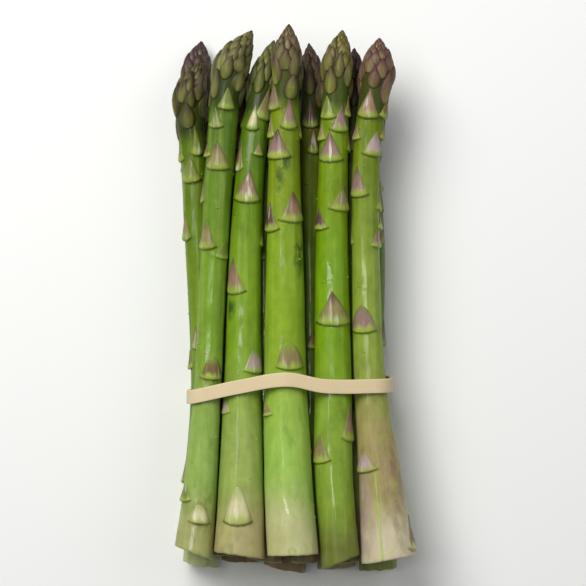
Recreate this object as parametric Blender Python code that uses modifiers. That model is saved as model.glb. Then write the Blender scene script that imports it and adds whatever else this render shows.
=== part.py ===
"""A bundle of fresh asparagus held by one rubber band, lying on its side with the tips towards +Y.

Metres, +Z up. The bundle lies on the plane Z = 0, and its box is centred on X = 0 and Y = 0.
Fifteen spears lie in three rows. Each spear is laid on the ones under it, is one solid with its
scales grown on, and tapers from its cut end to a pointed head of close scales.
"""

import math
import random
from collections import namedtuple

import bmesh
import bpy
from mathutils import Vector
from mathutils.geometry import convex_hull_2d

# Where a spear is measured along the bundle, metres
LOW_Y = -0.0735  # between the cut ends and the band
BAND_Y = -0.0330  # under the band
MIDDLE_Y = 0.0197
NECK_Y = 0.0600  # where the scales begin to close up
FULLEST = 0.0160  # from a tip down to the fullest place of its head
CENTRING = (0.0005, 0.0012, 0.0)  # moves the laid bundle so that its box is centred on the origin

# Fit of one spear on the next
SPEAR_GAP = 0.0005

# Spear skin
CORE_ROUNDING = 3  # a curve's bevel resolution, for ten sides
CORE_STEP = 0.0280  # between rings along the shaft
HEAD_STEPS = (0.030, 0.020, 0.014, 0.009, 0.005, 0.0018)  # rings below the tip
TIP_RADIUS = 0.0002
HEAD_TAPER = 0.0178  # from the tip down to where the head is at full radius
HEAD_FULLNESS = 0.85  # below 1 the head is blunter
SCALE_RELIEF = 0.0014  # how far a scale stands out of the skin
SLIM = 0.0045  # below this radius the scales stand out less, in proportion
SCALE_SHOULDER = 0.65  # part of a scale's half width that stands up
EDGE_SINK = -0.0003  # a scale's sides dip this far under the skin
ROOT_DEPTH = 0.0028

# Scales: each is this many times as far below the tip as the one before it
FIRST_SCALE = 0.0034
SCALE_SPACING = 1.22
GOLDEN_ANGLE = math.radians(137.5)
LONGEST_SCALE = 0.0115
HEAD_LENGTH = 0.0330
LAST_SCALE = 0.0150  # no scale starts nearer the cut end
SHARE_OF_GAP = 0.30  # of the free space to the next spear that a scale may fill
FRONT = math.radians(92)  # half the sweep in which the scales are placed one by one

# Rubber band
BAND_WIDTH = 0.0057
BAND_THICKNESS = 0.0010
BAND_CLEARANCE = 0.0005
BAND_PLACES = 60  # points round the band
BAND_LEFT_Y = -0.0402
BAND_CREST = (-0.0035, -0.0323)  # x and y of its highest run, over the middle spear
BAND_RIGHT = (0.0120, -0.0350)  # x and y from where it runs level to the right
BAND_RIGHT_Y = -0.0350

SPEAR_GREEN = (0.245, 0.400, 0.045, 1.0)
BAND_TAN = (0.720, 0.590, 0.380, 1.0)
SHARP_ANGLE = 40  # degrees; edges that turn more are drawn sharp

# across: x at the cut end, LOW_Y, BAND_Y, MIDDLE_Y, NECK_Y, the head's fullest place and the tip
# radii: at the cut end, BAND_Y, NECK_Y and the head's fullest place
# rise: height of the neck and of the tip over the height under the band
# turn: degrees round the spear, from straight up, to its first scale
Spear = namedtuple("Spear", "name cut_y tip_y across radii rise turn")

SPEARS = (
    Spear("spear_bottom_1", -0.1103, 0.1070,
          (-0.0394, -0.0362, -0.0333, -0.0350, -0.0388, -0.0410, -0.0391),
          (0.0074, 0.0065, 0.0054, 0.0073), (-0.0030, 0.0010), 20),
    Spear("spear_bottom_2", -0.1086, 0.0805,
          (-0.0223, -0.0184, -0.0160, -0.0176, -0.0200, -0.0217, -0.0225),
          (0.0085, 0.0067, 0.0055, 0.0055), (-0.0030, 0.0), 75),
    Spear("spear_bottom_3", -0.1118, 0.0870,
          (-0.0045, -0.0010, 0.0014, -0.0006, -0.0030, -0.0034, -0.0038),
          (0.0087, 0.0069, 0.0057, 0.0055), (-0.0030, 0.0), 140),
    Spear("spear_bottom_4", -0.1115, 0.0853,
          (0.0170, 0.0172, 0.0184, 0.0168, 0.0136, 0.0140, 0.0148),
          (0.0080, 0.0069, 0.0055, 0.0053), (-0.0030, 0.0), 215),
    Spear("spear_bottom_5", -0.1122, 0.0813,
          (0.0343, 0.0336, 0.0316, 0.0323, 0.0298, 0.0306, 0.0314),
          (0.0079, 0.0052, 0.0046, 0.0044), (-0.0015, 0.0), 290),
    Spear("spear_middle_1", -0.1012, 0.0974,
          (-0.0425, -0.0398, -0.0378, -0.0400, -0.0418, -0.0432, -0.0379),
          (0.0062, 0.0051, 0.0053, 0.0072), (0.0010, 0.0010), 40),
    Spear("spear_middle_2", -0.1050, 0.0928,
          (-0.0295, -0.0278, -0.0264, -0.0267, -0.0221, -0.0209, -0.0192),
          (0.0061, 0.0045, 0.0045, 0.0043), (0.0, 0.0), 110),
    Spear("spear_middle_3", -0.1066, 0.0870,
          (-0.0128, -0.0128, -0.0128, -0.0130, -0.0115, -0.0119, -0.0115),
          (0.0075, 0.0052, 0.0044, 0.0043), (0.0, 0.0), 170),
    Spear("spear_middle_4", -0.1074, 0.1043,
          (0.0055, 0.0059, 0.0059, 0.0059, 0.0058, 0.0065, 0.0056),
          (0.0076, 0.0052, 0.0047, 0.0060), (0.0, 0.0010), 250),
    Spear("spear_middle_5", -0.1070, 0.1027,
          (0.0241, 0.0237, 0.0227, 0.0221, 0.0233, 0.0243, 0.0241),
          (0.0075, 0.0052, 0.0045, 0.0056), (0.0, 0.0), 320),
    Spear("spear_top_1", -0.1022, 0.1084,
          (-0.0410, -0.0381, -0.0354, -0.0328, -0.0302, -0.0263, -0.0176),
          (0.0077, 0.0055, 0.0058, 0.0076), (0.0, 0.0010), 30),
    Spear("spear_top_2", -0.1030, 0.1052,
          (-0.0225, -0.0219, -0.0213, -0.0202, -0.0174, -0.0130, -0.0087),
          (0.0101, 0.0075, 0.0057, 0.0060), (-0.0010, -0.0045), 95),
    Spear("spear_top_4", -0.1058, 0.1084,
          (0.0180, 0.0156, 0.0152, 0.0148, 0.0154, 0.0169, 0.0190),
          (0.0078, 0.0075, 0.0057, 0.0067), (0.0005, 0.0010), 160),
    Spear("spear_top_5", -0.1050, 0.1056,
          (0.0374, 0.0344, 0.0301, 0.0284, 0.0290, 0.0328, 0.0340),
          (0.0109, 0.0065, 0.0055, 0.0076), (0.0, 0.0), 235),
    Spear("spear_top_3", -0.1026, 0.1102,
          (-0.0010, -0.0029, -0.0040, -0.0043, -0.0045, -0.0034, -0.0026),
          (0.0104, 0.0087, 0.0062, 0.0065), (0.0025, 0.0035), 300),
)

# Shaft scales that show from above: y of the base, degrees right of straight up, length, and
# degrees from the middle to a side
FRONT_SCALES = {
    "spear_middle_1": (
        (0.0594, 21, 0.0109, 24), (0.0570, -71, 0.0093, 24), (0.0485, -17, 0.0109, 43),
        (0.0250, -61, 0.0109, 30), (-0.0196, -26, 0.0089, 25), (-0.0281, -80, 0.0073, 22),
    ),
    "spear_middle_3": (
        (0.0165, -20, 0.0080, 35),
    ),
    "spear_middle_4": (
        (0.0708, -1, 0.0105, 36), (0.0602, 20, 0.0101, 28), (-0.0196, 11, 0.0069, 25),
    ),
    "spear_top_1": (
        (0.0772, 11, 0.0081, 30), (0.0695, -29, 0.0077, 29), (0.0574, -66, 0.0060, 24),
        (0.0529, -8, 0.0105, 48), (0.0209, -44, 0.0109, 46), (0.0169, 47, 0.0069, 36),
        (-0.0318, 19, 0.0085, 50), (-0.0815, -59, 0.0069, 31), (-0.0896, 9, 0.0069, 35),
    ),
    "spear_top_2": (
        (0.0736, 40, 0.0130, 42), (0.0683, -12, 0.0101, 24), (0.0582, 26, 0.0050, 20),
        (0.0521, -62, 0.0113, 28), (0.0400, -6, 0.0121, 48), (0.0031, -45, 0.0138, 45),
        (-0.0293, 46, 0.0089, 40), (-0.0463, -65, 0.0061, 25), (-0.0896, -6, 0.0142, 34),
    ),
    "spear_top_3": (
        (0.0695, 19, 0.0121, 31), (0.0655, -68, 0.0089, 24), (0.0574, -33, 0.0109, 50),
        (0.0319, 37, 0.0113, 48), (0.0282, -58, 0.0109, 35), (-0.0276, 16, 0.0105, 40),
        (-0.0471, -56, 0.0049, 18),
    ),
    "spear_top_4": (
        (0.0732, -34, 0.0085, 36), (0.0683, 26, 0.0101, 39), (0.0744, 68, 0.0081, 24),
        (0.0643, -64, 0.0073, 26), (0.0562, -16, 0.0109, 50), (0.0363, 40, 0.0097, 46),
        (0.0286, -56, 0.0081, 35), (-0.0094, 7, 0.0126, 60), (-0.0564, 60, 0.0146, 30),
        (-0.0653, -51, 0.0105, 38),
    ),
    "spear_top_5": (
        (0.0736, -19, 0.0109, 40), (0.0744, 64, 0.0081, 28), (0.0655, 77, 0.0077, 22),
        (0.0643, -63, 0.0061, 27), (0.0586, 29, 0.0097, 44), (0.0420, -42, 0.0113, 46),
        (0.0286, 80, 0.0061, 20), (0.0213, 58, 0.0065, 32), (-0.0127, -20, 0.0101, 54),
        (-0.0686, -50, 0.0081, 38), (-0.1010, 76, 0.0130, 24),
    ),
}


def smooth_run(places, at):
    """Value at `at` on a smooth curve through (position, value) places, straight past its ends."""
    places = sorted(places)
    slopes = []
    for i in range(len(places)):
        before = places[max(i - 1, 0)]
        after = places[min(i + 1, len(places) - 1)]
        slopes.append((after[1] - before[1]) / (after[0] - before[0]))
    if at <= places[0][0]:
        return places[0][1] + slopes[0] * (at - places[0][0])
    for (x0, v0), (x1, v1), m0, m1 in zip(places, places[1:], slopes, slopes[1:]):
        if at <= x1:
            span = x1 - x0
            t = (at - x0) / span
            return (
                v0 * (1 + 2 * t) * (1 - t) ** 2
                + v1 * t * t * (3 - 2 * t)
                + span * t * (1 - t) * (m0 * (1 - t) - m1 * t)
            )
    return places[-1][1] + slopes[-1] * (at - places[-1][0])


class LaidSpear:
    """A spear with its height worked out from the ones under it."""

    def __init__(self, spear, laid):
        self.spear = spear
        places = (spear.cut_y, LOW_Y, BAND_Y, MIDDLE_Y, NECK_Y, spear.tip_y - FULLEST, spear.tip_y)
        self.across = list(zip(places, spear.across))
        cut, band, neck, head = spear.radii
        self.girth = [(spear.cut_y, cut), (BAND_Y, band), (NECK_Y, neck)]
        self.girth.append((spear.tip_y - FULLEST, head - SCALE_RELIEF))
        cut_z = self.rest_height(spear.cut_y, laid)
        band_z = self.rest_height(BAND_Y, laid)
        low_z = max(self.rest_height(LOW_Y, laid), (cut_z + band_z) / 2)
        neck_z = max(self.rest_height(NECK_Y, laid), band_z + spear.rise[0])
        middle_z = max(self.rest_height(MIDDLE_Y, laid), (band_z + neck_z) / 2)
        self.heights = [(spear.cut_y, cut_z), (LOW_Y, low_z), (BAND_Y, band_z)]
        self.heights += [(MIDDLE_Y, middle_z), (NECK_Y, neck_z)]
        self.heights.append((spear.tip_y, neck_z + spear.rise[1]))

    def rest_height(self, y, laid):
        """Lowest height at which the spear clears the table and the spears laid before it."""
        under = BAND_THICKNESS + BAND_CLEARANCE if y == BAND_Y else 0.0
        height = under + self.radius(y)
        for other in laid:
            reach = self.radius(y) + other.radius(y) + SPEAR_GAP
            aside = smooth_run(self.across, y) - smooth_run(other.across, y)
            if abs(aside) < reach:
                height = max(height, other.axis(y).z + math.sqrt(reach**2 - aside**2))
        return height

    def axis(self, y):
        height = max(smooth_run(self.heights, y), self.radius(y))
        return Vector((smooth_run(self.across, y), y, height))

    def radius(self, y):
        """Radius of the skin, closing to a point over the length of the head's taper."""
        depth = self.spear.tip_y - y
        if depth <= 0:
            return TIP_RADIUS
        full = smooth_run(self.girth, min(y, self.spear.tip_y - FULLEST))
        taper = math.sin(math.pi / 2 * min(depth / HEAD_TAPER, 1.0))
        return max(full * taper**HEAD_FULLNESS, TIP_RADIUS)

    def skin(self, y, angle, out):
        """Point at this angle from straight up, `out` metres outside the skin."""
        step = 0.0005
        along = (self.axis(y + step) - self.axis(y - step)).normalized()
        right = along.cross(Vector((0, 0, 1))).normalized()
        up = right.cross(along)
        reach = self.radius(y) + out
        return self.axis(y) + (right * math.sin(angle) + up * math.cos(angle)) * reach

    def room(self, point, others):
        """Free distance from a point on the skin to the table or the next spear's skin."""
        free = point.z
        for other in others:
            if other is not self and other.spear.cut_y - 0.01 < point.y < other.spear.tip_y + 0.01:
                free = min(free, (point - other.axis(point.y)).length - other.radius(point.y))
        return free


def all_scales(spear):
    """Scales of one spear as (y of the base, angle, length, half width in radians)."""
    placed = FRONT_SCALES.get(spear.name, ())
    scales = [(y, math.radians(turn), long, math.radians(half)) for y, turn, long, half in placed]
    draw = random.Random(spear.name)
    depth = FIRST_SCALE
    angle = math.radians(spear.turn)
    while spear.tip_y - depth > spear.cut_y + LAST_SCALE:
        y = spear.tip_y - depth
        turned = math.remainder(angle + draw.uniform(-0.2, 0.2), 2 * math.pi)
        long = min(0.85 * depth, LONGEST_SCALE * draw.uniform(0.85, 1.0))
        half = math.radians(58 if depth < HEAD_LENGTH else 42)
        under_band = abs(y + long / 2 - BAND_Y) < long / 2 + BAND_WIDTH * 1.4
        taken = placed and depth > HEAD_LENGTH and abs(turned) < FRONT
        if not under_band and not taken:
            scales.append((y, turned, long, half))
        depth *= SCALE_SPACING
        angle += GOLDEN_ANGLE
    return scales


def add_scale(laid, others, scale, collection):
    """One scale: a pointed shield with a raised base and ridge, its root sunk in the spear."""
    y, angle, long, half = scale
    free = min(
        laid.room(laid.skin(y + long * part, angle + half * side, 0), others)
        for part, side in ((0.1, 0), (0.4, 0), (0.9, 0), (0.2, SCALE_SHOULDER), (0.2, -SCALE_SHOULDER))
    )
    slimness = min(1.0, laid.radius(y + long * 0.5) / SLIM)
    relief = min(SCALE_RELIEF * slimness, SHARE_OF_GAP * free)
    root = -min(ROOT_DEPTH, 0.5 * laid.radius(y + long * 0.5))
    corners = (
        (0.00, 0.0, 0.7 * relief), (0.30, 0.0, relief), (0.98, 0.0, 0.45 * relief),
        (0.16, SCALE_SHOULDER, 0.75 * relief), (0.16, -SCALE_SHOULDER, 0.75 * relief),
        (0.30, 1.0, EDGE_SINK), (0.30, -1.0, EDGE_SINK), (0.10, 0.0, root), (0.75, 0.0, root),
    )
    mesh = bpy.data.meshes.new("scale")
    shape = bmesh.new()
    for part, side, out in corners:
        shape.verts.new(laid.skin(y + long * part, angle + half * side, out))
    bmesh.ops.convex_hull(shape, input=shape.verts)
    bmesh.ops.recalc_face_normals(shape, faces=shape.faces)
    shape.to_mesh(mesh)
    shape.free()
    collection.objects.link(bpy.data.objects.new("scale", mesh))


def add_core(laid):
    """The spear without its scales: a tapering ten-sided rod, pointed at the head."""
    spear = laid.spear
    neck = spear.tip_y - HEAD_STEPS[0]
    steps = math.ceil((neck - spear.cut_y) / CORE_STEP)
    places = [spear.cut_y + (neck - spear.cut_y) * i / steps for i in range(steps)]
    places += [spear.tip_y - depth for depth in HEAD_STEPS] + [spear.tip_y]
    curve = bpy.data.curves.new(spear.name, "CURVE")
    curve.dimensions = "3D"
    curve.bevel_depth = 1.0
    curve.bevel_resolution = CORE_ROUNDING
    curve.use_fill_caps = True
    line = curve.splines.new("POLY")
    line.points.add(len(places) - 1)
    for point, y in zip(line.points, places):
        point.co = (*laid.axis(y), 1.0)
        point.radius = laid.radius(y)
    rod = bpy.data.objects.new(spear.name + "_line", curve)
    bpy.context.scene.collection.objects.link(rod)
    bpy.context.view_layer.update()
    mesh = bpy.data.meshes.new_from_object(rod.evaluated_get(bpy.context.evaluated_depsgraph_get()))
    bpy.data.objects.remove(rod)
    shape = bmesh.new()
    shape.from_mesh(mesh)
    bmesh.ops.remove_doubles(shape, verts=shape.verts, dist=0.00001)
    bmesh.ops.recalc_face_normals(shape, faces=shape.faces)
    shape.to_mesh(mesh)
    shape.free()
    return bpy.data.objects.new(spear.name, mesh)


def drop_sealed_hollows(mesh):
    """Keeps the outer surface, and drops any small hollow closed in between scales."""
    shape = bmesh.new()
    shape.from_mesh(mesh)
    unseen = set(shape.verts)
    surfaces = []
    while unseen:
        reached = [unseen.pop()]
        found = set(reached)
        while reached:
            for edge in reached.pop().link_edges:
                for vert in edge.verts:
                    if vert in unseen:
                        unseen.remove(vert)
                        found.add(vert)
                        reached.append(vert)
        surfaces.append(found)
    surfaces.sort(key=len)
    for inner in surfaces[:-1]:
        bmesh.ops.delete(shape, geom=list(inner), context="VERTS")
    shape.to_mesh(mesh)
    shape.free()


def add_spear(laid, others, bundle):
    """Rod and scales joined into one solid."""
    spear = add_core(laid)
    bundle.objects.link(spear)
    scales = bpy.data.collections.new("scales")
    bpy.context.scene.collection.children.link(scales)
    for scale in all_scales(laid.spear):
        add_scale(laid, others, scale, scales)
    join = spear.modifiers.new("scales", "BOOLEAN")
    join.operation = "UNION"
    join.operand_type = "COLLECTION"
    join.collection = scales
    join.solver = "MANIFOLD"
    bpy.context.view_layer.update()
    graph = bpy.context.evaluated_depsgraph_get()
    whole = bpy.data.meshes.new_from_object(spear.evaluated_get(graph))
    spear.modifiers.clear()
    drop_sealed_hollows(whole)
    spear.data = whole
    for scale in list(scales.objects):
        bpy.data.objects.remove(scale)
    bpy.data.collections.remove(scales)
    finish(spear, material(laid.spear.name, SPEAR_GREEN, 0.42))


def band_y(x, on_top):
    """Middle of the band's width at this x, on its top run or on its straight lower run."""
    left = (-0.0440, BAND_LEFT_Y)
    right = (0.0375, BAND_RIGHT_Y)
    if on_top:
        return smooth_run([left, (-0.0220, -0.0352), BAND_CREST, BAND_RIGHT, right], x)
    return smooth_run([left, right], x)


def band_section(rows):
    """The stretched band's inner outline in x and z: the hull of every spear under it."""
    outline = []
    for laid in rows:
        for y in (BAND_LEFT_Y - BAND_WIDTH / 2, BAND_Y, BAND_CREST[1] + BAND_WIDTH / 2):
            reach = laid.radius(y) + BAND_CLEARANCE
            middle = laid.axis(y)
            for i in range(48):
                angle = 2 * math.pi * i / 48
                x = middle.x + reach * math.sin(angle)
                outline.append(Vector((x, max(middle.z + reach * math.cos(angle), BAND_THICKNESS))))
    return [outline[i] for i in convex_hull_2d(outline)]


def add_band(rows, bundle):
    """One flat rubber ring, stretched round all the spears."""
    corners = band_section(rows)
    corners.append(corners[0])
    runs = [(b - a).length for a, b in zip(corners, corners[1:])]
    middle_z = sum(corner.y for corner in corners[:-1]) / (len(corners) - 1)
    shape = bmesh.new()
    ring = bmesh.ops.create_circle(shape, segments=BAND_PLACES, radius=1.0)["verts"]
    for i, vert in enumerate(ring):
        left = sum(runs) * i / BAND_PLACES
        k = 0
        while left > runs[k]:
            left -= runs[k]
            k += 1
        place = corners[k].lerp(corners[k + 1], left / runs[k])
        vert.co = (place.x, band_y(place.x, place.y > middle_z) - BAND_WIDTH / 2, place.y)
    wall = bmesh.ops.extrude_edge_only(shape, edges=shape.edges[:])
    rim = [item for item in wall["geom"] if isinstance(item, bmesh.types.BMVert)]
    bmesh.ops.translate(shape, verts=rim, vec=(0, BAND_WIDTH, 0))
    bmesh.ops.recalc_face_normals(shape, faces=shape.faces)
    mesh = bpy.data.meshes.new("rubber_band")
    shape.to_mesh(mesh)
    shape.free()
    band = bpy.data.objects.new("rubber_band", mesh)
    bundle.objects.link(band)
    wall = band.modifiers.new("thickness", "SOLIDIFY")
    wall.thickness = BAND_THICKNESS
    wall.offset = 1.0
    wall.use_even_offset = True
    finish(band, material("rubber_band", BAND_TAN, 0.8))


def material(name, colour, roughness):
    made = bpy.data.materials.new(name)
    made.use_nodes = True
    shader = made.node_tree.nodes["Principled BSDF"]
    shader.inputs["Base Color"].default_value = colour
    shader.inputs["Roughness"].default_value = roughness
    return made


def finish(piece, skin):
    piece.data.materials.clear()
    piece.data.materials.append(skin)
    piece.data.shade_smooth()
    piece.data.set_sharp_from_angle(angle=math.radians(SHARP_ANGLE))


def main():
    for old in list(bpy.data.objects):
        bpy.data.objects.remove(old)
    bundle = bpy.data.collections.new("bundle_of_asparagus")
    bpy.context.scene.collection.children.link(bundle)
    rows = []
    for spear in SPEARS:
        rows.append(LaidSpear(spear, rows))
    for laid in rows:
        add_spear(laid, rows, bundle)
    add_band(rows, bundle)
    for piece in bundle.objects:
        piece.location = CENTRING


main()
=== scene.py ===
"""Looks of the bundle of asparagus: fifteen spears in three rows, tied with one flat rubber band."""

import math
import random
from collections import namedtuple

import bmesh
import bpy
from mathutils import Matrix, Vector, noise
from mathutils.geometry import convex_hull_2d


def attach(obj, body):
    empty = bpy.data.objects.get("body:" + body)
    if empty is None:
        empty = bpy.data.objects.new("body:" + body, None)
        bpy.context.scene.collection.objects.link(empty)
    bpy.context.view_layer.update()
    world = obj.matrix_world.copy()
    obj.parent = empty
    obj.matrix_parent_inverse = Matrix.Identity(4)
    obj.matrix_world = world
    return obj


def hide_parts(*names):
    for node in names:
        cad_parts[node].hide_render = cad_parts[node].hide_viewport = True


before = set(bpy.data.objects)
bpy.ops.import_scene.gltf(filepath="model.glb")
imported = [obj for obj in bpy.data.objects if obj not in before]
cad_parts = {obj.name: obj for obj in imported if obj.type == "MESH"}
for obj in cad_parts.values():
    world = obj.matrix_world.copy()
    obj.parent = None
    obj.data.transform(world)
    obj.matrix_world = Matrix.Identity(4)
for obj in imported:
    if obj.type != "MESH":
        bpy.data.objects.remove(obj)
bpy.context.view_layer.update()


# Bottom row. Five spears lie on the table, tips away, and carry the rest of the bundle. Each grew as
# one piece: a round shaft, scales in a spiral that closes up into the pointed head, and a cut end.

LOW_Y = -0.0735  # between the cut ends and the band
BAND_Y = -0.0330  # under the band
MIDDLE_Y = 0.0197
NECK_Y = 0.0600  # where the scales begin to close up
FULLEST = 0.0160  # from a tip down to the fullest place of its head
CENTRING = Vector((0.0005, 0.0012, 0.0))
SPEAR_GAP = 0.0005
TIP_RADIUS = 0.0002
HEAD_TAPER = 0.0178
HEAD_FULLNESS = 0.85
HEAD_LENGTH = 0.0350
BAND_WIDTH = 0.0057
BAND_THICKNESS = 0.0010
BAND_CLEARANCE = 0.0005
STATION_STEP = 0.00035

# across: x at the cut end, LOW_Y, BAND_Y, MIDDLE_Y, NECK_Y, the head's fullest place and the tip
# radii: at the cut end, BAND_Y, NECK_Y and the head's fullest place
# rise: height of the neck and of the tip over the height under the band
Spear = namedtuple("Spear", "name cut_y tip_y across radii rise turn")

BOTTOM_ROW = (
    Spear("spear_bottom_1", -0.1103, 0.1070,
          (-0.0394, -0.0362, -0.0333, -0.0350, -0.0388, -0.0410, -0.0391),
          (0.0074, 0.0065, 0.0054, 0.0073), (-0.0030, 0.0010), 20),
    Spear("spear_bottom_2", -0.1086, 0.0805,
          (-0.0223, -0.0184, -0.0160, -0.0176, -0.0200, -0.0217, -0.0225),
          (0.0085, 0.0067, 0.0055, 0.0055), (-0.0030, 0.0), 75),
    Spear("spear_bottom_3", -0.1118, 0.0870,
          (-0.0045, -0.0010, 0.0014, -0.0006, -0.0030, -0.0034, -0.0038),
          (0.0087, 0.0069, 0.0057, 0.0055), (-0.0030, 0.0), 140),
    Spear("spear_bottom_4", -0.1115, 0.0853,
          (0.0170, 0.0172, 0.0184, 0.0168, 0.0136, 0.0140, 0.0148),
          (0.0080, 0.0069, 0.0055, 0.0053), (-0.0030, 0.0), 215),
    Spear("spear_bottom_5", -0.1122, 0.0813,
          (0.0343, 0.0336, 0.0316, 0.0323, 0.0298, 0.0306, 0.0314),
          (0.0079, 0.0052, 0.0046, 0.0044), (-0.0015, 0.0), 290),
)


def smooth_run(places, at):
    """Value at `at` on a smooth curve through (position, value) places, straight past its ends."""
    places = sorted(places)
    slopes = []
    for i in range(len(places)):
        before = places[max(i - 1, 0)]
        after = places[min(i + 1, len(places) - 1)]
        slopes.append((after[1] - before[1]) / (after[0] - before[0]))
    if at <= places[0][0]:
        return places[0][1] + slopes[0] * (at - places[0][0])
    for (x0, v0), (x1, v1), m0, m1 in zip(places, places[1:], slopes, slopes[1:]):
        if at <= x1:
            span = x1 - x0
            t = (at - x0) / span
            return (
                v0 * (1 + 2 * t) * (1 - t) ** 2
                + v1 * t * t * (3 - 2 * t)
                + span * t * (1 - t) * (m0 * (1 - t) - m1 * t)
            )
    return places[-1][1] + slopes[-1] * (at - places[-1][0])


class LaidSpear:
    """A spear with its height worked out from the ones under it."""

    def __init__(self, spear, laid):
        self.spear = spear
        places = (spear.cut_y, LOW_Y, BAND_Y, MIDDLE_Y, NECK_Y, spear.tip_y - FULLEST, spear.tip_y)
        self.across = list(zip(places, spear.across))
        cut, band, neck, head = spear.radii
        self.girth = [(spear.cut_y, cut), (BAND_Y, band), (NECK_Y, neck)]
        self.girth.append((spear.tip_y - FULLEST, head - 0.0014))
        cut_z = self.rest_height(spear.cut_y, laid)
        band_z = self.rest_height(BAND_Y, laid)
        low_z = max(self.rest_height(LOW_Y, laid), (cut_z + band_z) / 2)
        neck_z = max(self.rest_height(NECK_Y, laid), band_z + spear.rise[0])
        middle_z = max(self.rest_height(MIDDLE_Y, laid), (band_z + neck_z) / 2)
        self.heights = [(spear.cut_y, cut_z), (LOW_Y, low_z), (BAND_Y, band_z)]
        self.heights += [(MIDDLE_Y, middle_z), (NECK_Y, neck_z)]
        self.heights.append((spear.tip_y, neck_z + spear.rise[1]))

    def rest_height(self, y, laid):
        """Lowest height at which the spear clears the table and the spears laid before it."""
        under = BAND_THICKNESS + BAND_CLEARANCE if y == BAND_Y else 0.0
        height = under + self.radius(y)
        for other in laid:
            reach = self.radius(y) + other.radius(y) + SPEAR_GAP
            aside = smooth_run(self.across, y) - smooth_run(other.across, y)
            if abs(aside) < reach:
                height = max(height, other.axis(y).z + math.sqrt(reach**2 - aside**2))
        return height

    def axis(self, y):
        height = max(smooth_run(self.heights, y), self.radius(y))
        return Vector((smooth_run(self.across, y), y, height))

    def radius(self, y):
        """Radius of the skin, closing to a point over the length of the head's taper."""
        depth = self.spear.tip_y - y
        if depth <= 0:
            return TIP_RADIUS
        full = smooth_run(self.girth, min(y, self.spear.tip_y - FULLEST))
        taper = math.sin(math.pi / 2 * min(depth / HEAD_TAPER, 1.0))
        return max(full * taper**HEAD_FULLNESS, TIP_RADIUS)

    def lay_stations(self):
        """The axis point, rightward and upward directions and radius, every STATION_STEP from the cut."""
        self.stations = []
        y = self.spear.cut_y
        while y < self.spear.tip_y + 2 * STATION_STEP:
            along = (self.axis(y + 0.0005) - self.axis(y - 0.0005)).normalized()
            right = along.cross(Vector((0, 0, 1))).normalized()
            self.stations.append((self.axis(y), right, right.cross(along), self.radius(y)))
            y += STATION_STEP

    def station(self, y):
        """The same four values at any place along the spear."""
        steps = min(max((y - self.spear.cut_y) / STATION_STEP, 0.0), len(self.stations) - 1.001)
        before, after = self.stations[int(steps)], self.stations[int(steps) + 1]
        part = steps - int(steps)
        return before[0].lerp(after[0], part), before[1], before[2], before[3] + (after[3] - before[3]) * part

    def room(self, point, others):
        """Free distance from a point on the skin to the table or the next spear's skin."""
        free = point.z
        for other in others:
            if other is not self and other.spear.cut_y - 0.01 < point.y < other.spear.tip_y + 0.01:
                free = min(free, (point - other.axis(point.y)).length - other.radius(point.y))
        return free


def colour(red, green, blue):
    """A colour given in screen values, 0 to 255, as the linear colour that a shader takes."""
    linear = []
    for value in (red, green, blue):
        part = value / 255
        linear.append(part / 12.92 if part <= 0.04045 else ((part + 0.055) / 1.055) ** 2.4)
    return (*linear, 1.0)


TAN = colour(134, 122, 78)
ROSE = colour(140, 112, 90)
MAUVE = colour(138, 112, 104)
LILAC = colour(172, 148, 146)
CREAM = colour(194, 188, 142)
OLIVE = colour(112, 126, 52)
BROWN = colour(112, 92, 50)
PLUM = colour(88, 62, 58)

# y of the base, turn from straight up, length, half width (radians), bluntness and darkness of the tip,
# colour, a seeded draw, and 1 in the head to 0 on the shaft
Scale = namedtuple("Scale", "y turn long half blunt dusk tint tone head")


def all_scales(laid, placed):
    """The scales that were listed one by one, and a golden-angle spiral of others above and round them."""
    spear = laid.spear
    draw = random.Random(spear.name)
    scales = []
    for y, turn, long, half, blunt, dusk, tint in placed:
        turn, half = math.radians(turn), math.radians(half)
        scales.append(Scale(y, turn, long, half, blunt, dusk, tint, draw.random(), 0.0))
    depth = 0.0013
    angle = math.radians(spear.turn)
    while spear.tip_y - depth > spear.cut_y + 0.015:
        y = spear.tip_y - depth
        turned = math.remainder(angle + draw.uniform(-0.25, 0.25), 2 * math.pi)
        head = max(0.0, min(1.0, (HEAD_LENGTH - depth) / 0.006))
        long = 0.0105 * draw.uniform(0.85, 1.0)
        if head:
            long = min(0.0014 + 0.40 * depth, 0.0100, 0.92 * depth) * draw.uniform(0.78, 1.15)
        half = math.radians(42 - 10 * head) * draw.uniform(0.75, 1.15)
        near_band = abs(y + long / 2 - BAND_Y) < long / 2 + BAND_WIDTH
        seen = placed and head == 0 and abs(turned) < math.radians(92)
        crowded = any(
            abs(y - other.y) < 0.006 and abs(math.remainder(turned - other.turn, 2 * math.pi)) < half + other.half
            for other in scales[:len(placed)]
        )
        if not near_band and not seen and not crowded:
            tint = draw.choice((TAN, ROSE, MAUVE, OLIVE))
            blunt, dusk = draw.uniform(0, 0.3), draw.uniform(0.3, 1.0)
            scales.append(Scale(y, turned, long, half, blunt, dusk, tint, draw.random(), head))
        depth *= 1.046 if depth < HEAD_LENGTH - 0.015 else 1.075 if depth < HEAD_LENGTH + 0.012 else 1.2
        angle += math.radians(137.5)
    return scales


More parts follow.
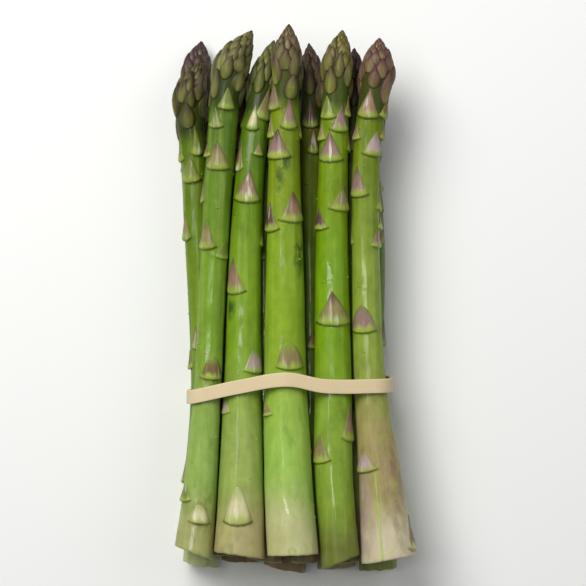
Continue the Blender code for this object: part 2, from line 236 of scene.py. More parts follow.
# Down a scale: how far along it, then height and width there on the shaft, and in the head
SCALE_ROWS = (
    (0.03, 0.00, 1.28, 0.00, 0.50),
    (0.00, 0.90, 1.30, 0.12, 0.62),
    (0.08, 1.00, 1.16, 0.34, 0.82),
    (0.20, 0.86, 0.96, 0.58, 0.97),
    (0.35, 0.66, 0.76, 0.82, 1.00),
    (0.52, 0.48, 0.55, 1.00, 0.88),
    (0.68, 0.36, 0.37, 1.06, 0.68),
    (0.82, 0.28, 0.21, 1.04, 0.44),
    (0.93, 0.24, 0.09, 0.98, 0.20),
    (1.00, 0.20, 0.02, 0.92, 0.03),
    (0.94, 0.00, 0.02, 0.00, 0.03),
)
# Across a scale, from its middle to its edge: how far out, height on the shaft, and in the head
SCALE_COLUMNS = ((0.0, 1.0, 1.0), (0.38, 0.90, 0.88), (0.72, 0.60, 0.60), (0.95, 0.22, 0.28), (1.0, 0.0, 0.0))
SCALE_WIDE = 2 * (len(SCALE_COLUMNS) - 1)
SINK = -0.0003  # edges end this far under the skin


def free_height(laid, others, scale):
    """Free space outside the skin where a scale is to stand."""
    free = []
    for part, side in ((0.1, 0), (0.4, 0), (0.9, 0), (0.2, 0.65), (0.2, -0.65)):
        centre, right, up, radius = laid.station(scale.y + scale.long * part)
        turned = scale.turn + scale.half * side
        skin = centre + (right * math.sin(turned) + up * math.cos(turned)) * radius
        free.append(laid.room(skin, others))
    return max(min(free), 0.0)


def grow_scale(body, laid, scale, free, skin_at, layers):
    """One scale: a thin pointed shield with its edges tucked into the skin."""
    slimness = min(1.0, laid.radius(scale.y + scale.long * 0.5) / 0.0045)
    relief = min((0.0009 + 0.0007 * scale.head) * slimness, (0.25 + 0.20 * scale.head) * free)
    relief *= 0.8 + 0.35 * scale.tone
    skew = (scale.tone - 0.5) * 0.4 * scale.half
    sheet = bmesh.ops.create_grid(body, x_segments=SCALE_WIDE, y_segments=len(SCALE_ROWS) - 1, size=1.0)
    for vert in sheet["verts"]:
        column = round(vert.co.x * SCALE_WIDE / 2)
        part, low, broad, head_low, head_broad = SCALE_ROWS[round((vert.co.y + 1) / 2 * (len(SCALE_ROWS) - 1))]
        height = low + (head_low - low) * scale.head
        width = broad + (head_broad - broad) * scale.head
        width += (math.sqrt(1.001 - part * part) - width) * scale.blunt
        out, level, head_level = SCALE_COLUMNS[abs(column)]
        height *= level + (head_level - level) * scale.head
        side = math.copysign(out, column)
        y = scale.y + scale.long * (part - 0.13 * (1 - side * side) * (1 - part))
        turned = scale.turn + scale.half * width * side + skew * part * part
        centre, outward, reach = skin_at(y, turned)
        vert.co = centre + outward * (reach + (SINK if height == 0 else relief * height + 0.00003))
        vert[layers["along"]] = (y - laid.spear.cut_y) / (laid.spear.tip_y - laid.spear.cut_y)
        vert[layers["scale"]] = 1.0
        vert[layers["scale_side"]] = side
        vert[layers["scale_up"]] = part
        vert[layers["tone"]] = scale.tone
        vert[layers["dusk"]] = scale.dusk
        vert[layers["head"]] = scale.head
        vert[layers["tint"]] = scale.tint


AROUND = 96
DROPS = 70  # water drops tried on each spear
RING_STEP = 0.0007
CUT_RINGS = ((0.0, 0.0008), (0.30, 0.0006), (0.62, 0.0003), (0.88, 0.0001), (0.965, 0.0))
NO_SLIT = (0.0, -1.0)


def grow_spear(laid, others, placed, skin, slant=0.05, stains=(), slit=NO_SLIT):
    """The whole spear in one mesh: slanted cut face, shaft swelling at each scale, and every scale."""
    spear = laid.spear
    laid.lay_stations()
    scales = all_scales(laid, placed)
    rooms = [free_height(laid, others, scale) for scale in scales]
    swellings = {}
    for scale, room in zip(scales, rooms):
        if scale.head < 0.5:
            for millimetre in range(math.floor((scale.y - 0.001) * 1000), math.ceil((scale.y + 0.016) * 1000)):
                swellings.setdefault(millimetre, []).append((scale, min(0.0006, 0.3 * room)))
    draw = random.Random(spear.name + " shaft")
    shift = Vector((draw.uniform(0, 50), draw.uniform(0, 50), draw.uniform(0, 50)))
    flutes = draw.randint(9, 13)

    def skin_at(y, angle):
        """Axis point, outward direction and distance of the skin, with its lumps, flutes and swellings."""
        centre, right, up, radius = laid.station(y)
        outward = right * math.sin(angle) + up * math.cos(angle)
        spot = centre + outward * radius
        out = radius * 0.030 * noise.noise(Vector((spot.x * 90, y * 55, spot.z * 90)) + shift)
        out += 0.00006 * noise.noise(Vector((spot.x * 500, y * 160, spot.z * 500)) + shift)
        out += 0.00003 * math.sin(angle * flutes + 25 * y)
        out *= min(1.0, max(0.0, (spear.tip_y - y) / 0.03))
        for scale, swelling in swellings.get(math.floor(y * 1000), ()):
            aside = math.remainder(angle - scale.turn, 2 * math.pi) / (scale.half * 1.9)
            if abs(aside) < 1:
                above = y - scale.y + 0.0011 * (1 - aside * aside)
                rise = min(1.0, max(0.0, above / 0.0006)) * math.exp(-max(above, 0.0) / 0.006)
                out += swelling * rise * (1 - aside * aside) ** 2
        return centre, outward, radius + out

    body = bmesh.new()
    layers = {}
    for name in ("along", "scale", "scale_side", "scale_up", "tone", "dusk", "head", "cut", "slit", "stained", "drop"):
        layers[name] = body.verts.layers.float.new(name)
    for name in ("tint", "stain"):
        layers[name] = body.verts.layers.float_color.new(name)
    for _ in range(DROPS):
        y = draw.uniform(spear.cut_y + 0.010, spear.tip_y - HEAD_LENGTH)
        size = 0.00022 + 0.00045 * draw.random() ** 3
        centre, outward, reach = skin_at(y, draw.uniform(-math.pi, math.pi))
        if laid.room(centre + outward * reach, others) > 0.0015 and abs(y - BAND_Y) > 0.007:
            bead = bmesh.ops.create_uvsphere(body, u_segments=8, v_segments=5, radius=size)["verts"]
            turn = outward.to_track_quat("Z", "Y").to_matrix().to_4x4()
            flat = Matrix.Diagonal((1.0, draw.uniform(1.0, 1.6), 0.45, 1.0))
            bmesh.ops.transform(body, verts=bead, matrix=Matrix.Translation(centre + outward * reach) @ turn @ flat)
            for vert in bead:
                vert[layers["along"]] = (y - spear.cut_y) / (spear.tip_y - spear.cut_y)
                vert[layers["drop"]] = 1.0
    for scale, room in zip(scales, rooms):
        grow_scale(body, laid, scale, room, skin_at, layers)
    rings = [(spear.cut_y + sink, part, 1.0) for part, sink in CUT_RINGS]
    count = round((spear.tip_y - spear.cut_y) / RING_STEP)
    for i in range(count + 1):
        rings.append((spear.cut_y + 0.0002 + (spear.tip_y - spear.cut_y - 0.0002) * i / count, 1.0, 0.0))
    sheet = bmesh.ops.create_grid(body, x_segments=AROUND, y_segments=len(rings) - 1, size=1.0)
    for vert in sheet["verts"]:
        y, part, cut = rings[round((vert.co.y + 1) / 2 * (len(rings) - 1))]
        angle = vert.co.x * math.pi
        centre, outward, reach = skin_at(y, angle)
        if y < slit[1] and abs(math.remainder(angle - math.radians(slit[0]), 2 * math.pi)) < 0.04:
            reach -= 0.0010 * min(1.0, (slit[1] - y) / 0.012)
            vert[layers["slit"]] = 1.0
        vert.co = centre + outward * reach * part if y < spear.tip_y - TIP_RADIUS else centre
        cut_fade = max(0.0, 1 - (y - spear.cut_y) / 0.014)
        if cut_fade:
            rough = 0.0004 * noise.noise(Vector((math.sin(angle), math.cos(angle), 0)) * 3 + shift)
            vert.co.y += (slant * math.sin(angle) * reach + rough) * cut_fade * part
        vert[layers["along"]] = (y - spear.cut_y) / (spear.tip_y - spear.cut_y)
        vert[layers["cut"]] = cut
        vert[layers["head"]] = max(0.0, min(1.0, (HEAD_LENGTH - (spear.tip_y - y)) / 0.006))
        for stain_y, turn, long, half, tint in stains:
            aside = math.remainder(angle - math.radians(turn), 2 * math.pi) / math.radians(half)
            off = math.hypot((y - stain_y) / long, aside)
            if off < 1:
                vert[layers["stain"]] = tint
                vert[layers["stained"]] = 1 - off * off
    for vert in body.verts:
        vert.co.z = max(vert.co.z, 0.00002)
    bmesh.ops.remove_doubles(body, verts=body.verts, dist=0.000002)
    bmesh.ops.translate(body, verts=body.verts, vec=CENTRING)
    for face in body.faces:
        face.smooth = True
    mesh = bpy.data.meshes.new(spear.name + "_grown")
    body.to_mesh(mesh)
    body.free()
    mesh.materials.append(skin)
    piece = bpy.data.objects.new(spear.name + "_grown", mesh)
    bpy.context.scene.collection.objects.link(piece)
    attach(piece, "root")
    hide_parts(spear.name)
    return piece


def join(tree, kind, inputs, **settings):
    """A node with its settings, and its inputs given as values or as other nodes' outputs."""
    node = tree.nodes.new(kind)
    for name, value in settings.items():
        setattr(node, name, value)
    for key, value in inputs.items():
        if isinstance(value, bpy.types.NodeSocket):
            tree.links.new(value, node.inputs[key])
        else:
            node.inputs[key].default_value = value
    return node


def reading(tree, name):
    return join(tree, "ShaderNodeAttribute", {}, attribute_name=name).outputs["Fac"]


def arithmetic(tree, operation, a, b=0.0, c=0.0):
    return join(tree, "ShaderNodeMath", {0: a, 1: b, 2: c}, operation=operation).outputs[0]


def step_between(tree, value, low, high):
    """0 below low, 1 above high, smooth between."""
    inputs = {"Value": value, "From Min": low, "From Max": high}
    return join(tree, "ShaderNodeMapRange", inputs, interpolation_type="SMOOTHSTEP").outputs["Result"]


def blend(tree, share, a, b, how="MIX"):
    inputs = {"Factor": share, 6: a, 7: b}
    return join(tree, "ShaderNodeMix", inputs, data_type="RGBA", blend_type=how).outputs[2]


def cloudy(tree, where, scale, stretch, detail=3.0, roughness=0.5):
    """Noise in object space, drawn out along the spear where the stretch is small."""
    placed = join(tree, "ShaderNodeMapping", {"Vector": where, "Scale": stretch})
    inputs = {"Vector": placed.outputs[0], "Scale": scale, "Detail": detail, "Roughness": roughness}
    return join(tree, "ShaderNodeTexNoise", inputs).outputs[0]


def make_flesh_group():
    """Colour, roughness and fine relief of a spear, from how far along it and on what part a point is."""
    group = bpy.data.node_groups.new("spear flesh", "ShaderNodeTree")
    for name in ("Butt", "Low", "Middle", "Upper", "Head Base", "Head Tip", "Head Edge"):
        group.interface.new_socket(name, in_out="INPUT", socket_type="NodeSocketColor")
    for name, kind in (("Color", "Color"), ("Roughness", "Float"), ("Coat", "Float"), ("Relief", "Float")):
        group.interface.new_socket(name, in_out="OUTPUT", socket_type="NodeSocket" + kind)
    given = group.nodes.new("NodeGroupInput").outputs
    where = group.nodes.new("ShaderNodeTexCoord").outputs["Object"]

    def times(a, b):
        return arithmetic(group, "MULTIPLY", a, b)

    def between(value, low, high):
        return step_between(group, value, low, high)

    along, head = reading(group, "along"), reading(group, "head")
    wander = cloudy(group, where, 45.0, (1.0, 0.6, 1.0), 2.0)
    drift = arithmetic(group, "ADD", along, times(arithmetic(group, "SUBTRACT", wander, 0.5), 0.16))
    shaft = blend(group, between(drift, 0.03, 0.15), given["Butt"], given["Low"])
    shaft = blend(group, between(drift, 0.18, 0.42), shaft, given["Middle"])
    shaft = blend(group, between(drift, 0.52, 0.80), shaft, given["Upper"])
    patches = between(cloudy(group, where, 110.0, (1.0, 0.5, 1.0), 4.0, 0.6), 0.55, 0.72)
    shaft = blend(group, times(patches, 0.32), shaft, colour(60, 88, 10))
    streaks = between(cloudy(group, where, 420.0, (1.0, 0.03, 1.0), 3.0), 0.46, 0.70)
    shaft = blend(group, times(streaks, 0.18), shaft, colour(180, 194, 96))
    specks = between(cloudy(group, where, 900.0, (1.0, 0.8, 1.0), 2.0), 0.66, 0.72)
    shaft = blend(group, times(specks, 0.15), shaft, colour(70, 86, 20))
    stain = join(group, "ShaderNodeAttribute", {}, attribute_name="stain").outputs["Color"]
    broken = between(cloudy(group, where, 260.0, (1.0, 0.6, 1.0), 4.0, 0.6), 0.38, 0.62)
    shaft = blend(group, times(reading(group, "stained"), broken), shaft, stain)

    up, side, tone = reading(group, "scale_up"), reading(group, "scale_side"), reading(group, "tone")
    tint = join(group, "ShaderNodeAttribute", {}, attribute_name="tint").outputs["Color"]
    edge = arithmetic(group, "ABSOLUTE", side)
    # Painted highlight: sparse near-white streaks on the shaft scales stand in for wet glints.
    painted_glints = between(cloudy(group, where, 520.0, (1.0, 0.10, 1.0), 2.0), 0.56, 0.70)
    combed = cloudy(group, where, 620.0, (1.0, 0.08, 1.0), 3.0, 0.6)
    stray = arithmetic(group, "SUBTRACT", combed, 0.5)
    climb = arithmetic(group, "ADD", up, times(stray, 0.60))
    rim = blend(group, 0.50, shaft, colour(174, 190, 84))
    plate = blend(group, between(climb, 0.08, 0.36), rim, tint)
    plate = blend(group, times(times(painted_glints, between(edge, 0.9, 0.2)), 0.60), plate, colour(220, 214, 202))
    plate = blend(group, times(between(edge, 0.45, 1.0), 0.50), plate, blend(group, 0.5, shaft, colour(96, 74, 46)))
    dark = blend(group, tone, colour(92, 66, 50), colour(62, 42, 46))
    dark = blend(group, reading(group, "dusk"), shaft, dark)
    plate = blend(group, times(between(climb, 0.50, 1.0), 0.90), plate, dark)

    height = between(along, 0.86, 0.97)
    fill = blend(group, times(height, 0.85), given["Head Base"], given["Head Tip"])
    lighter = blend(group, 0.45, fill, colour(158, 166, 84))
    bud = blend(group, times(between(edge, 0.55, 0.0), between(climb, 0.75, 0.15)), fill, lighter)
    # Painted highlight: fainter pale glints on the head scales.
    bud = blend(group, times(painted_glints, 0.25), bud, colour(190, 176, 156))
    bud = blend(group, times(between(edge, 0.35, 0.90), 0.80), bud, given["Head Edge"])
    bud = blend(group, times(between(climb, 0.45, 0.95), 0.80), bud, given["Head Edge"])
    bud = blend(group, times(tone, 0.35), bud, given["Head Edge"])
    bud = blend(group, between(combed, 0.58, 0.40), bud, blend(group, 0.35, bud, given["Head Edge"]))
    # Painted shade: the skin showing between the head's scales is darkened nearly to black, for the shade in the gaps.
    gap_shaded_core = blend(group, times(head, 0.80), shaft, colour(34, 38, 10))
    skin = blend(group, reading(group, "scale"), gap_shaded_core, blend(group, head, plate, bud))

    fibres = between(cloudy(group, where, 1500.0, (1.0, 0.2, 1.0), 1.0), 0.50, 0.62)
    face = blend(group, times(fibres, 0.5), colour(196, 194, 146), colour(138, 138, 84))
    skin = blend(group, reading(group, "cut"), skin, face)
    skin = blend(group, times(reading(group, "slit"), 0.9), skin, colour(150, 184, 58))
    mottle = cloudy(group, where, 240.0, (1.0, 0.6, 1.0), 4.0, 0.6)
    grey = join(group, "ShaderNodeCombineColor", {0: mottle, 1: mottle, 2: mottle}).outputs[0]
    skin = blend(group, 0.45, skin, grey, "SOFT_LIGHT")
    drop = reading(group, "drop")
    rough = arithmetic(group, "ADD", 0.40, times(mottle, 0.20))
    rough = arithmetic(group, "ADD", rough, times(reading(group, "cut"), 0.25))
    wet = between(cloudy(group, where, 70.0, (1.0, 0.4, 1.0), 3.0), 0.42, 0.62)
    coat = times(arithmetic(group, "SUBTRACT", 1.0, times(head, 0.6)), arithmetic(group, "MULTIPLY_ADD", wet, 0.22, 0.12))
    coat = arithmetic(group, "MAXIMUM", coat, drop)
    grain = cloudy(group, where, 900.0, (1.0, 0.05, 1.0), 2.0)
    relief = arithmetic(group, "ADD", times(grain, 0.5), times(mottle, 0.6))
    relief = times(relief, arithmetic(group, "SUBTRACT", 1.0, drop))
    out = group.nodes.new("NodeGroupOutput")
    group.links.new(skin, out.inputs["Color"])
    group.links.new(rough, out.inputs["Roughness"])
    group.links.new(coat, out.inputs["Coat"])
    group.links.new(relief, out.inputs["Relief"])
    return group


flesh = make_flesh_group()


def spear_skin(name, butt, low, middle, upper, head_base, head_tip, head_edge=(64, 44, 44)):
    """Waxy wet skin in one spear's own colours."""
    skin = bpy.data.materials.new(name + " skin")
    skin.use_nodes = True
    tree = skin.node_tree
    shader = tree.nodes["Principled BSDF"]
    given = {"Butt": butt, "Low": low, "Middle": middle, "Upper": upper}
    given |= {"Head Base": head_base, "Head Tip": head_tip, "Head Edge": head_edge}
    mix = join(tree, "ShaderNodeGroup", {}, node_tree=flesh)
    for socket, screen in given.items():
        mix.inputs[socket].default_value = colour(*screen)
    tree.links.new(mix.outputs["Color"], shader.inputs["Base Color"])
    tree.links.new(mix.outputs["Roughness"], shader.inputs["Roughness"])
    bump = join(tree, "ShaderNodeBump", {"Height": mix.outputs["Relief"], "Strength": 0.3, "Distance": 0.0003})
    tree.links.new(bump.outputs[0], shader.inputs["Normal"])
    tree.links.new(mix.outputs["Coat"], shader.inputs["Coat Weight"])
    shader.inputs["Specular IOR Level"].default_value = 0.18
    shader.inputs["Coat Roughness"].default_value = 0.08
    shader.inputs["Subsurface Weight"].default_value = 0.05
    shader.inputs["Subsurface Radius"].default_value = (0.5, 1.0, 0.2)
    shader.inputs["Subsurface Scale"].default_value = 0.0012
    return skin


rows = []
for spear in BOTTOM_ROW:
    rows.append(LaidSpear(spear, rows))
bottom_skins = {
    # at the cut end, low, middle and upper shaft, base, tip and scale edges of the head
    "spear_bottom_1": ((180, 188, 134), (136, 158, 80), (100, 128, 24), (80, 106, 14), (92, 78, 56), (84, 62, 60), (54, 36, 40)),
    "spear_bottom_2": ((116, 98, 66), (126, 138, 70), (98, 124, 40), (80, 104, 32), (92, 92, 46), (84, 66, 60), (58, 40, 40)),
    "spear_bottom_3": ((140, 118, 94), (130, 142, 76), (100, 126, 42), (80, 104, 32), (92, 92, 46), (84, 66, 60), (58, 40, 40)),
    "spear_bottom_4": ((150, 136, 106), (130, 142, 76), (100, 126, 42), (80, 104, 32), (92, 92, 46), (84, 66, 60), (58, 40, 40)),
    "spear_bottom_5": ((124, 130, 70), (126, 146, 66), (106, 136, 44), (84, 110, 34), (92, 92, 46), (84, 66, 60), (58, 40, 40)),
}


# Middle row. Five thinner spears lie in the grooves of the bottom row and show between and beside
# the front ones, in shadow, with their darker heads.

MIDDLE_ROW = (
    Spear("spear_middle_1", -0.1012, 0.0974,
          (-0.0425, -0.0398, -0.0378, -0.0400, -0.0418, -0.0432, -0.0379),
          (0.0062, 0.0051, 0.0053, 0.0072), (0.0010, 0.0010), 40),
    Spear("spear_middle_2", -0.1050, 0.0928,
          (-0.0295, -0.0278, -0.0264, -0.0267, -0.0221, -0.0209, -0.0192),
          (0.0061, 0.0045, 0.0045, 0.0043), (0.0, 0.0), 110),
    Spear("spear_middle_3", -0.1066, 0.0870,
          (-0.0128, -0.0128, -0.0128, -0.0130, -0.0115, -0.0119, -0.0115),
          (0.0075, 0.0052, 0.0044, 0.0043), (0.0, 0.0), 170),
    Spear("spear_middle_4", -0.1074, 0.1043,
          (0.0055, 0.0059, 0.0059, 0.0059, 0.0058, 0.0065, 0.0056),
          (0.0076, 0.0052, 0.0047, 0.0060), (0.0, 0.0010), 250),
    Spear("spear_middle_5", -0.1070, 0.1027,
          (0.0241, 0.0237, 0.0227, 0.0221, 0.0233, 0.0243, 0.0241),
          (0.0075, 0.0052, 0.0045, 0.0056), (0.0, 0.0), 320),
)
for spear in MIDDLE_ROW:
    rows.append(LaidSpear(spear, rows))

# Scales that show from above: y of the base, degrees right of straight up, length, half width in
# degrees, bluntness and darkness of the tip, and colour
middle_scales = {
    "spear_middle_1": (
        (0.0594, 21, 0.0109, 24, 0, 0.6, OLIVE),
        (0.0570, -71, 0.0093, 24, 0, 0.6, OLIVE),
        (0.0485, -17, 0.0109, 43, 0.1, 0.4, OLIVE),
        (0.0250, -61, 0.0109, 30, 0, 0.6, TAN),
        (-0.0196, -26, 0.0089, 25, 0, 0.6, TAN),
        (-0.0281, -80, 0.0073, 22, 0, 0.6, BROWN),
    ),
    "spear_middle_3": (
        (0.0165, -20, 0.0080, 35, 0.1, 0.5, OLIVE),
    ),
    "spear_middle_4": (
        (0.0708, -1, 0.0105, 36, 0, 0.8, PLUM),
        (0.0602, 20, 0.0101, 28, 0, 0.8, BROWN),
        (-0.0196, 11, 0.0069, 25, 0.1, 0.5, BROWN),
    ),
}
middle_skins = {
    "spear_middle_1": ((150, 160, 96), (114, 144, 56), (104, 134, 22), (86, 112, 12), (96, 102, 38), (84, 74, 38), (52, 40, 26)),
    "spear_middle_2": ((116, 98, 66), (112, 134, 54), (88, 116, 36), (72, 90, 32), (92, 78, 50), (84, 62, 58), (50, 34, 34)),
    "spear_middle_3": ((126, 108, 78), (112, 134, 54), (84, 112, 32), (72, 90, 32), (88, 82, 44), (84, 62, 58), (50, 34, 34)),
    "spear_middle_4": ((126, 108, 78), (108, 130, 48), (76, 100, 16), (86, 98, 14), (104, 96, 46), (88, 66, 54), (48, 32, 32)),
    "spear_middle_5": ((126, 108, 78), (108, 130, 48), (82, 108, 30), (70, 80, 34), (72, 50, 46), (62, 38, 44), (40, 24, 30)),
}


# Front row. The five thickest spears lie on top, in the grooves and over them, and show from tip to
# cut end, the middle one highest. Their shaft scales are placed one by one.

FRONT_ROW = (
    Spear("spear_top_1", -0.1022, 0.1084,
          (-0.0410, -0.0381, -0.0354, -0.0328, -0.0302, -0.0263, -0.0176),
          (0.0077, 0.0055, 0.0058, 0.0076), (0.0, 0.0010), 30),
    Spear("spear_top_2", -0.1030, 0.1052,
          (-0.0225, -0.0219, -0.0213, -0.0202, -0.0174, -0.0130, -0.0087),
          (0.0101, 0.0075, 0.0057, 0.0060), (-0.0010, -0.0045), 95),
    Spear("spear_top_4", -0.1058, 0.1084,
          (0.0180, 0.0156, 0.0152, 0.0148, 0.0154, 0.0169, 0.0190),
          (0.0078, 0.0075, 0.0057, 0.0067), (0.0005, 0.0010), 160),
    Spear("spear_top_5", -0.1050, 0.1056,
          (0.0374, 0.0344, 0.0301, 0.0284, 0.0290, 0.0328, 0.0340),
          (0.0109, 0.0065, 0.0055, 0.0076), (0.0, 0.0), 235),
    Spear("spear_top_3", -0.1026, 0.1102,
          (-0.0010, -0.0029, -0.0040, -0.0043, -0.0045, -0.0034, -0.0026),
          (0.0104, 0.0087, 0.0062, 0.0065), (0.0025, 0.0035), 300),
)
for spear in FRONT_ROW:
    rows.append(LaidSpear(spear, rows))

front_scales = {
    "spear_top_1": (
        (0.0772, 11, 0.0081, 30, 0.2, 0.4, OLIVE),
        (0.0695, -29, 0.0077, 29, 0, 0.5, OLIVE),
        (0.0574, -66, 0.0060, 24, 0, 0.8, BROWN),
        (0.0529, -8, 0.0105, 48, 0.1, 0.9, TAN),
        (0.0209, -44, 0.0109, 46, 0.1, 0.5, TAN),
        (0.0169, 47, 0.0069, 36, 0.3, 0.2, OLIVE),
        (-0.0318, 19, 0.0085, 50, 0.7, 0.2, BROWN),
        (-0.0815, -59, 0.0069, 31, 0.4, 0.0, OLIVE),
        (-0.0896, 9, 0.0069, 35, 0.6, 0.0, CREAM),
    ),
    "spear_top_2": (
        (0.0736, 40, 0.0130, 42, 0, 0.7, TAN),
        (0.0683, -12, 0.0101, 24, 0, 0.3, CREAM),
        (0.0582, 26, 0.0050, 20, 0.1, 0.7, TAN),
        (0.0521, -62, 0.0113, 28, 0, 0.7, BROWN),
        (0.0400, -6, 0.0121, 48, 0, 0.6, ROSE),
        (0.0031, -45, 0.0138, 45, 0, 0.7, ROSE),
        (-0.0293, 46, 0.0089, 40, 0.5, 0.1, LILAC),
        (-0.0463, -65, 0.0061, 25, 0.3, 0.2, LILAC),
        (-0.0896, -6, 0.0142, 34, 0.5, 0.0, CREAM),
    ),
    "spear_top_3": (
        (0.0695, 19, 0.0121, 31, 0, 1.0, MAUVE),
        (0.0655, -68, 0.0089, 24, 0, 0.6, TAN),
        (0.0574, -33, 0.0109, 50, 0.1, 0.9, MAUVE),
        (0.0319, 37, 0.0113, 48, 0, 1.0, ROSE),
        (0.0282, -58, 0.0109, 35, 0, 1.0, PLUM),
        (-0.0276, 16, 0.0105, 40, 0.8, 0.1, TAN),
        (-0.0471, -56, 0.0049, 18, 0.2, 0.2, ROSE),
    ),
    "spear_top_4": (
        (0.0732, -34, 0.0085, 36, 0.2, 0.2, OLIVE),
        (0.0683, 26, 0.0101, 39, 0, 0.9, MAUVE),
        (0.0744, 68, 0.0081, 24, 0, 0.6, BROWN),
        (0.0643, -64, 0.0073, 26, 0, 0.5, TAN),
        (0.0562, -16, 0.0109, 50, 0.1, 0.8, MAUVE),
        (0.0363, 40, 0.0097, 46, 0, 0.6, TAN),
        (0.0286, -56, 0.0081, 35, 0, 1.0, PLUM),
        (-0.0094, 7, 0.0126, 60, 0, 1.0, TAN),
        (-0.0564, 60, 0.0146, 30, 0.1, 0.4, ROSE),
        (-0.0653, -51, 0.0105, 38, 0.3, 0.3, TAN),
    ),
    "spear_top_5": (
        (0.0736, -19, 0.0109, 40, 0, 0.9, ROSE),
        (0.0744, 64, 0.0081, 28, 0, 0.7, BROWN),
        (0.0655, 77, 0.0077, 22, 0, 0.6, ROSE),
        (0.0643, -63, 0.0061, 27, 0, 0.6, ROSE),
        (0.0586, 29, 0.0097, 44, 0.1, 0.3, LILAC),
        (0.0420, -42, 0.0113, 46, 0.1, 0.8, MAUVE),
        (0.0286, 80, 0.0061, 20, 0, 0.8, PLUM),
        (0.0213, 58, 0.0065, 32, 0.1, 0.6, MAUVE),
        (-0.0127, -20, 0.0101, 54, 0.7, 0.5, MAUVE),
        (-0.0686, -50, 0.0081, 38, 0.1, 0.1, LILAC),
        (-0.1010, 76, 0.0130, 24, 0.2, 0.8, BROWN),
    ),
}
front_skins = {
    "spear_top_1": ((156, 158, 98), (136, 164, 78), (112, 146, 34), (80, 110, 16), (122, 130, 60), (116, 112, 66), (62, 54, 30)),
    "spear_top_2": ((168, 158, 110), (142, 162, 78), (116, 150, 26), (80, 112, 8), (116, 132, 50), (108, 108, 56), (60, 54, 28)),
    "spear_top_3": ((184, 184, 130), (146, 180, 76), (130, 160, 34), (112, 132, 6), (130, 142, 56), (108, 92, 66), (68, 46, 38)),
    "spear_top_4": ((106, 114, 48), (124, 152, 46), (112, 150, 8), (110, 136, 10), (132, 142, 56), (124, 118, 54), (68, 48, 36)),
    "spear_top_5": ((196, 184, 154), (156, 142, 92), (130, 152, 50), (100, 120, 8), (134, 120, 72), (118, 88, 74), (76, 46, 46)),
}
# How far each cut leans, across its width
cut_slants = {
    "spear_bottom_1": -0.10, "spear_bottom_2": 0.08, "spear_bottom_3": -0.12, "spear_bottom_4": 0.10,
    "spear_middle_3": -0.15, "spear_middle_5": 0.12, "spear_top_1": -0.28, "spear_top_2": -0.12,
    "spear_top_3": -0.03, "spear_top_4": 0.33, "spear_top_5": 0.08,
}
# Stains: y, degrees right of straight up, half length, half width in degrees, colour
DARK_GREEN = colour(56, 82, 20)
stains = {
    "spear_top_2": ((-0.0040, -50, 0.0060, 26, DARK_GREEN),),
    "spear_top_3": (
        (0.0480, -20, 0.0060, 24, DARK_GREEN), (0.0560, 10, 0.0050, 20, DARK_GREEN),
        (0.0180, 50, 0.0110, 30, DARK_GREEN), (-0.1010, 0, 0.0022, 14, colour(130, 150, 50)),
    ),
    "spear_top_1": ((-0.0320, 10, 0.0060, 60, BROWN), (-0.0850, 30, 0.0100, 60, OLIVE)),
    "spear_top_5": ((-0.0700, 40, 0.0260, 50, colour(146, 122, 92)), (-0.0860, -60, 0.0200, 40, LILAC)),
}
for laid in rows:
    name = laid.spear.name
    grow_spear(
        laid, rows, (middle_scales | front_scales).get(name, ()),
        spear_skin(name, *(bottom_skins | middle_skins | front_skins)[name]),
        cut_slants.get(name, 0.05), stains.get(name, ()), (-15, -0.0680) if name == "spear_top_5" else NO_SLIT,
    )


# Rubber band. One flat ring of tan natural latex, stretched round all the spears a third of the way up,
# with a dull powdery face and softened edges. It bridges the dips between the spears.

BAND_PLACES = 360
BAND_LEFT_Y = -0.0402
BAND_CREST = (-0.0035, -0.0323)
BAND_RIGHT = (0.0120, -0.0350)
BAND_RIGHT_Y = -0.0350


def band_y(x, on_top):
    """Middle of the band's width at this x, on its top run or on its straight lower run."""
    left = (-0.0440, BAND_LEFT_Y)
    right = (0.0375, BAND_RIGHT_Y)
    if on_top:
        return smooth_run([left, (-0.0220, -0.0352), BAND_CREST, BAND_RIGHT, right], x)
    return smooth_run([left, right], x)


outline = []
for laid in rows:
    for y in (BAND_LEFT_Y - BAND_WIDTH / 2, BAND_Y, BAND_CREST[1] + BAND_WIDTH / 2):
        reach = laid.radius(y) + BAND_CLEARANCE
        middle = laid.axis(y)
        for i in range(96):
            angle = 2 * math.pi * i / 96
            x = middle.x + reach * math.sin(angle)
            outline.append(Vector((x, max(middle.z + reach * math.cos(angle), BAND_THICKNESS))))
corners = [outline[i] for i in convex_hull_2d(outline)]
corners.append(corners[0])
runs = [(b - a).length for a, b in zip(corners, corners[1:])]
middle_z = sum(corner.y for corner in corners[:-1]) / (len(corners) - 1)
strip = bmesh.new()
ring = bmesh.ops.create_circle(strip, segments=BAND_PLACES, radius=1.0)["verts"]
for i, vert in enumerate(ring):
    left = sum(runs) * i / BAND_PLACES
    k = 0
    while left > runs[k]:
        left -= runs[k]
        k += 1
    place = corners[k].lerp(corners[k + 1], left / runs[k])
    vert.co = (place.x, band_y(place.x, place.y > middle_z) - BAND_WIDTH / 2, place.y)
edges = strip.edges[:]
for _ in range(6):
    wall = bmesh.ops.extrude_edge_only(strip, edges=edges)["geom"]
    rim = [item for item in wall if isinstance(item, bmesh.types.BMVert)]
    bmesh.ops.translate(strip, verts=rim, vec=(0, BAND_WIDTH / 6, 0))
    edges = [item for item in wall if isinstance(item, bmesh.types.BMEdge) and item.is_boundary]
bmesh.ops.recalc_face_normals(strip, faces=strip.faces)
bmesh.ops.translate(strip, verts=strip.verts, vec=CENTRING)
for face in strip.faces:
    face.smooth = True
mesh = bpy.data.meshes.new("rubber_band_stretched")
strip.to_mesh(mesh)
strip.free()
band = bpy.data.objects.new("rubber_band_stretched", mesh)
bpy.context.scene.collection.objects.link(band)
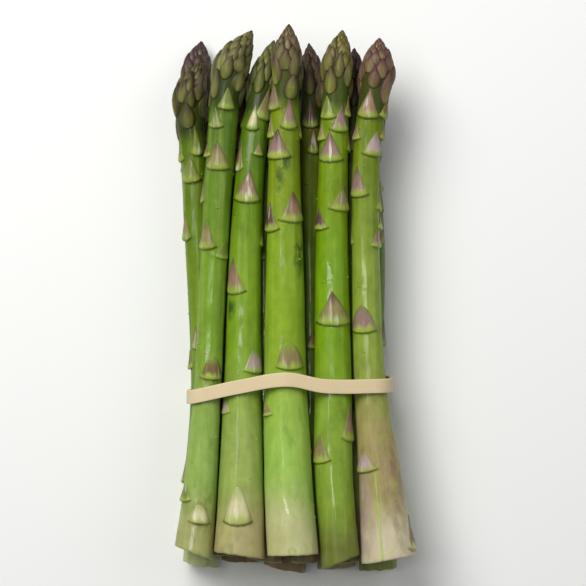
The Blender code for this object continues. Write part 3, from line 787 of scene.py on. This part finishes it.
wall = band.modifiers.new("thickness", "SOLIDIFY")
wall.thickness = BAND_THICKNESS
wall.offset = 1.0
edge = band.modifiers.new("soft edges", "BEVEL")
edge.width = 0.00022
edge.segments = 3
edge.limit_method = "ANGLE"
latex = bpy.data.materials.new("tan latex")
latex.use_nodes = True
tree = latex.node_tree
shader = tree.nodes["Principled BSDF"]
where = tree.nodes.new("ShaderNodeTexCoord").outputs["Object"]
cloud = cloudy(tree, where, 90.0, (1.0, 1.0, 1.0), 3.0)
dust = cloudy(tree, where, 1400.0, (1.0, 1.0, 1.0), 3.0)
tan = blend(tree, cloud, colour(212, 192, 152), colour(222, 204, 166))
tan = blend(tree, arithmetic(tree, "MULTIPLY", dust, 0.25), tan, colour(200, 176, 134))
tree.links.new(tan, shader.inputs["Base Color"])
tree.links.new(arithmetic(tree, "ADD", 0.55, arithmetic(tree, "MULTIPLY", dust, 0.3)), shader.inputs["Roughness"])
bump = join(tree, "ShaderNodeBump", {"Height": dust, "Strength": 0.25, "Distance": 0.0001})
tree.links.new(bump.outputs[0], shader.inputs["Normal"])
shader.inputs["Subsurface Weight"].default_value = 0.15
shader.inputs["Subsurface Radius"].default_value = (1.0, 0.6, 0.3)
shader.inputs["Subsurface Scale"].default_value = 0.001
mesh.materials.append(latex)
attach(band, "root")
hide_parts("rubber_band")


# Stage. A plain near-white table top, a large soft lamp up and to the left of the tips, a weaker one on
# the other side, and the camera looking straight down.

table = bmesh.new()
bmesh.ops.create_grid(table, x_segments=1, y_segments=1, size=2.0)
mesh = bpy.data.meshes.new("table_top")
table.to_mesh(mesh)
table.free()
floor = bpy.data.objects.new("table_top", mesh)
bpy.context.scene.collection.objects.link(floor)
white = bpy.data.materials.new("white table")
white.use_nodes = True
white.node_tree.nodes["Principled BSDF"].inputs["Base Color"].default_value = (0.90, 0.90, 0.885, 1.0)
white.node_tree.nodes["Principled BSDF"].inputs["Roughness"].default_value = 0.7
mesh.materials.append(white)


def soft_lamp(name, place, size, watts, tint):
    """A soft lamp with a rectangular face, aimed at the middle of the bundle."""
    lamp = bpy.data.lights.new(name, "AREA")
    lamp.shape = "RECTANGLE"
    lamp.size, lamp.size_y = size
    lamp.energy = watts
    lamp.color = tint
    holder = bpy.data.objects.new(name, lamp)
    holder.location = place
    holder.rotation_euler = (Vector((0, 0, 0.02)) - Vector(place)).to_track_quat("-Z", "Y").to_euler()
    bpy.context.scene.collection.objects.link(holder)


soft_lamp("window", (-0.42, 0.62, 0.95), (0.75, 0.75), 14.2, (1.0, 1.0, 0.98))
soft_lamp("strip", (-0.26, 0.02, 0.88), (0.03, 0.45), 0.8, (1.0, 1.0, 1.0))
soft_lamp("fill", (0.65, 0.25, 0.85), (0.7, 0.7), 1.8, (0.98, 0.99, 1.0))
world = bpy.data.worlds.new("studio")
world.use_nodes = True
world.node_tree.nodes["Background"].inputs["Color"].default_value = (0.95, 0.97, 1.0, 1.0)
world.node_tree.nodes["Background"].inputs["Strength"].default_value = 0.16
bpy.context.scene.world = world
bpy.context.scene.view_settings.view_transform = "Standard"

CAMERA_HEIGHT = 0.90
METRES_PER_PIXEL = 0.000405  # at 30 mm above the table
lens = bpy.data.cameras.new("camera")
lens.sensor_width = 36.0
lens.lens = 36.0 * (CAMERA_HEIGHT - 0.030) / (586 * METRES_PER_PIXEL)
lens.clip_start = 0.05
camera = bpy.data.objects.new("camera", lens)
camera.location = (-0.0005, 0.0035, CAMERA_HEIGHT)
bpy.context.scene.collection.objects.link(camera)
bpy.context.scene.camera = camera
